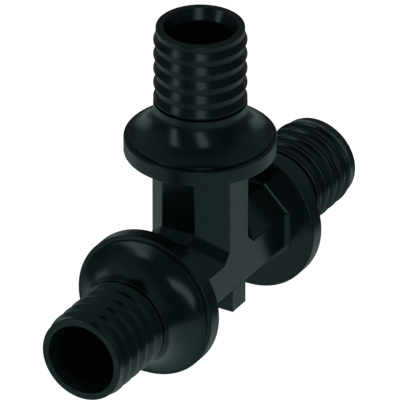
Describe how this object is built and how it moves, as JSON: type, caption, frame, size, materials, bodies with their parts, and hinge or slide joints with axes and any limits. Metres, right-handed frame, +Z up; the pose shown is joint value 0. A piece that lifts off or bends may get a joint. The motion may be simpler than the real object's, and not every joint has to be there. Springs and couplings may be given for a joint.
{
  "type": "barbed tee connector",
  "caption": "Black plastic pipe tee: an octagonal body with domed flange collars and barbed spigots that push into pipe ends.",
  "frame": {"origin": "where the axis of the branch meets the axis of the run, at the middle of the body", "axes": "+Z up the branch, +Y along the run, +X out of one of the body's flat sides"},
  "size_m": [0.0352, 0.1074, 0.0785],
  "materials": {
    "body_plastic": "satin black moulding with a cool tint",
    "collar_plastic": "satin black moulding with a cool tint",
    "spigot_plastic": "satin black, turned smooth on the crests",
    "seal_rubber": "matt black rubber"
  },
  "bodies": {
    "root": {"tee_body": "body_plastic", "collar_top": "collar_plastic", "collar_front": "collar_plastic", "collar_rear": "collar_plastic", "spigot_top": "spigot_plastic", "spigot_front": "spigot_plastic", "spigot_rear": "spigot_plastic", "seal_top": "seal_rubber", "seal_front": "seal_rubber", "seal_rear": "seal_rubber"}
  },
  "joints": []
}
